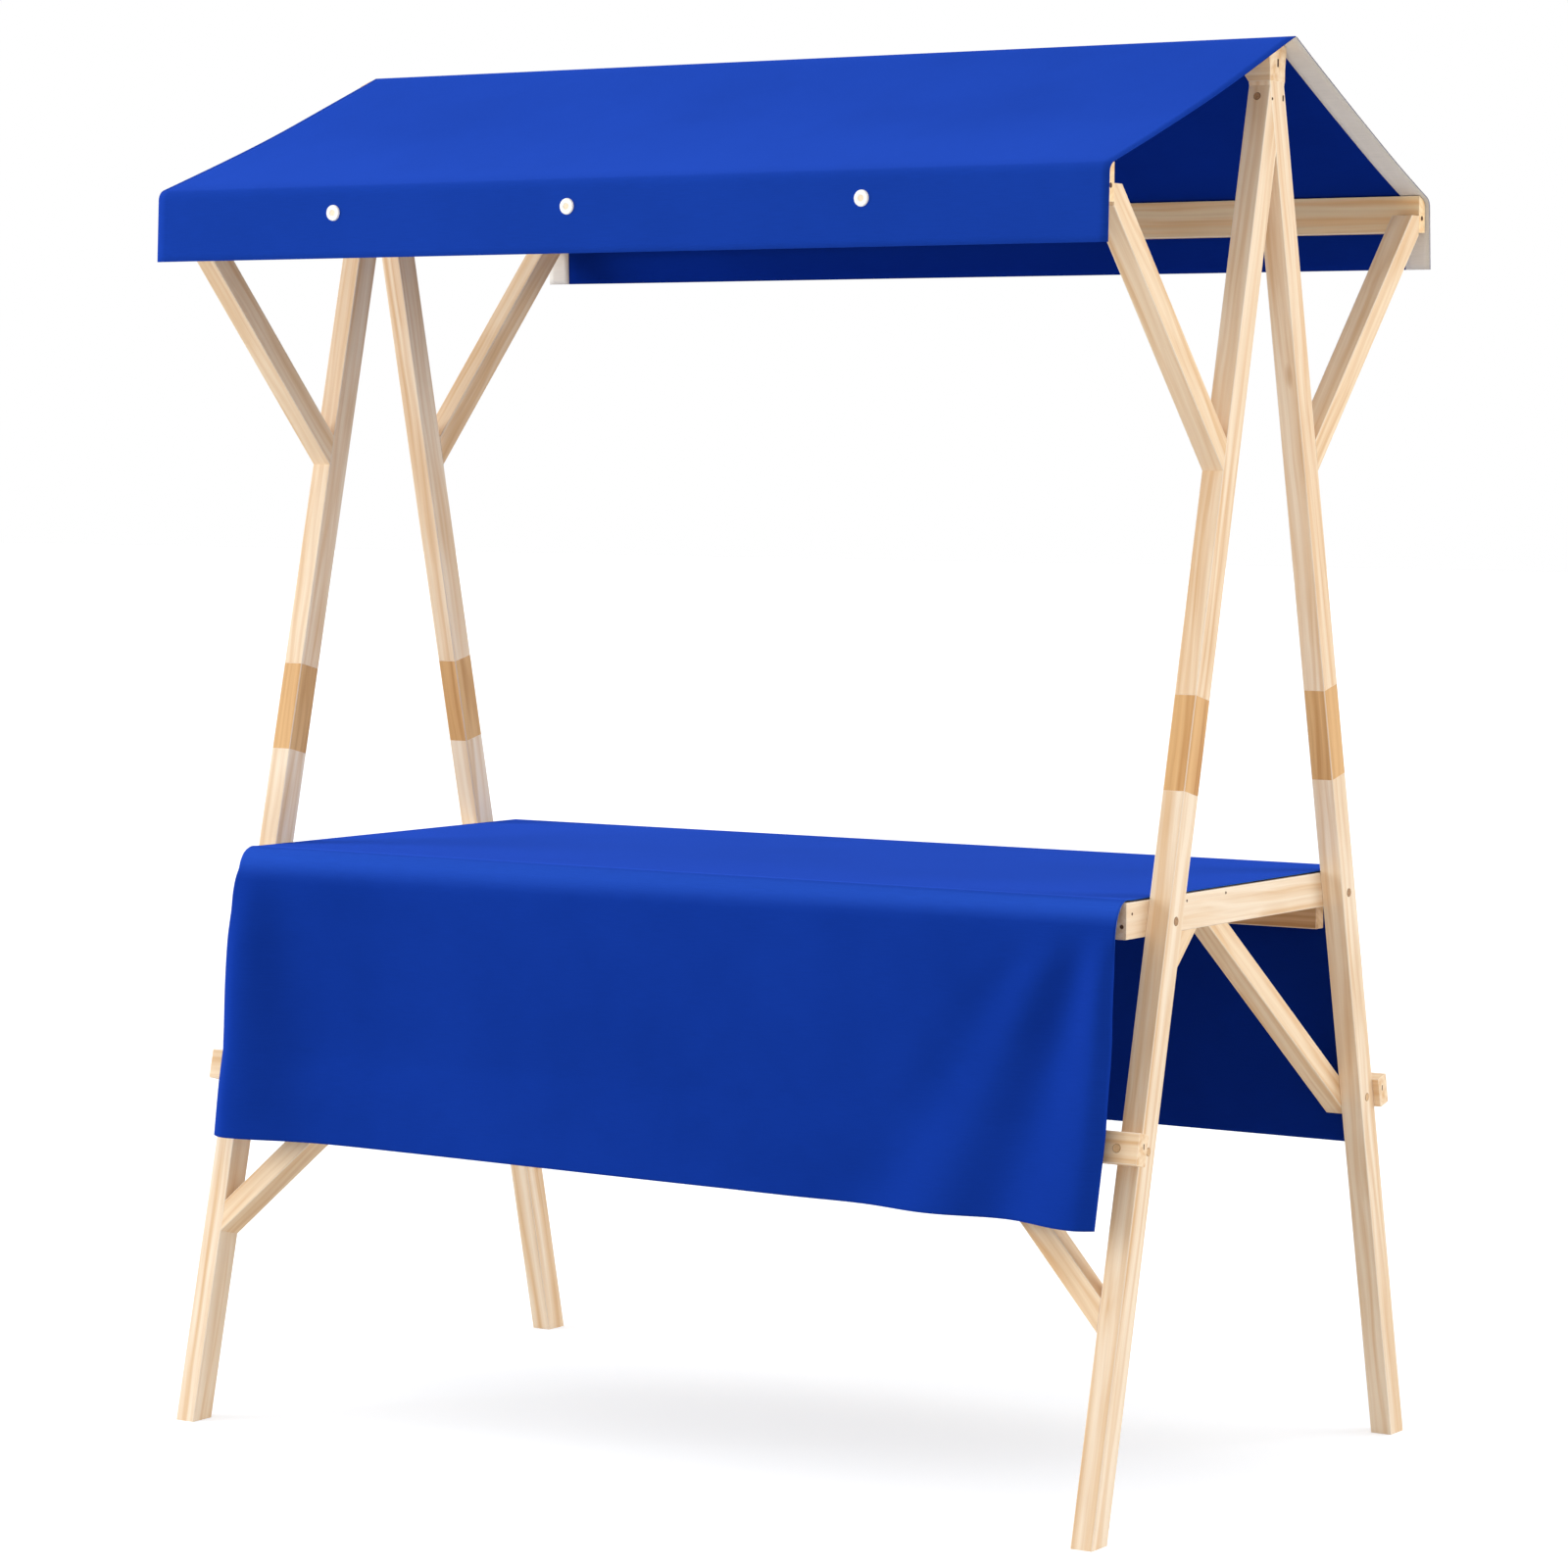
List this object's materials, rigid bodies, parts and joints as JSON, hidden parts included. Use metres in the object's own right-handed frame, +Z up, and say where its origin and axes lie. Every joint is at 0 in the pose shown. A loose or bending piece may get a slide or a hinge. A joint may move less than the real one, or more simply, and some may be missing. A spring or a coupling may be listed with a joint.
{
  "type": "market stall",
  "caption": "Knock-down timber market stall with two splayed A-frames, a cloth-covered counter and a blue pitched canopy with valances.",
  "frame": {"origin": "on the floor, midway between the four feet", "axes": "+X along the counter, -Y towards the customer, +Z up"},
  "size_m": [1.816, 1.124, 2.323],
  "materials": {
    "leg_wood": "planed, raw",
    "splice_wood": "planed, honey toned",
    "batten_wood": "planed, raw",
    "table_wood": "planed, raw",
    "canopy_cloth": "coated weave, slight sheen",
    "table_cloth": "coated weave, slight sheen"
  },
  "bodies": {
    "root": {"front_left_leg_lower": "leg_wood", "front_left_leg_splice": "splice_wood", "front_left_leg_upper": "leg_wood", "front_right_leg_lower": "leg_wood", "front_right_leg_splice": "splice_wood", "front_right_leg_upper": "leg_wood", "back_left_leg_lower": "leg_wood", "back_left_leg_splice": "splice_wood", "back_left_leg_upper": "leg_wood", "back_right_leg_lower": "leg_wood", "back_right_leg_splice": "splice_wood", "back_right_leg_upper": "leg_wood", "ridge_beam": "batten_wood", "front_eave_purlin": "batten_wood", "back_eave_purlin": "batten_wood", "front_left_roof_strut": "batten_wood", "front_right_roof_strut": "batten_wood", "back_left_roof_strut": "batten_wood", "back_right_roof_strut": "batten_wood", "left_side_rail": "batten_wood", "right_side_rail": "batten_wood", "front_table_rail": "table_wood", "back_table_rail": "table_wood", "tabletop": "table_wood", "front_left_knee_brace": "batten_wood", "front_right_knee_brace": "batten_wood", "back_left_knee_brace": "batten_wood", "back_right_knee_brace": "batten_wood", "front_stretcher": "batten_wood", "back_stretcher": "batten_wood", "left_stretcher_brace": "batten_wood", "right_stretcher_brace": "batten_wood", "tablecloth": "table_cloth", "canopy": "canopy_cloth"}
  },
  "joints": []
}
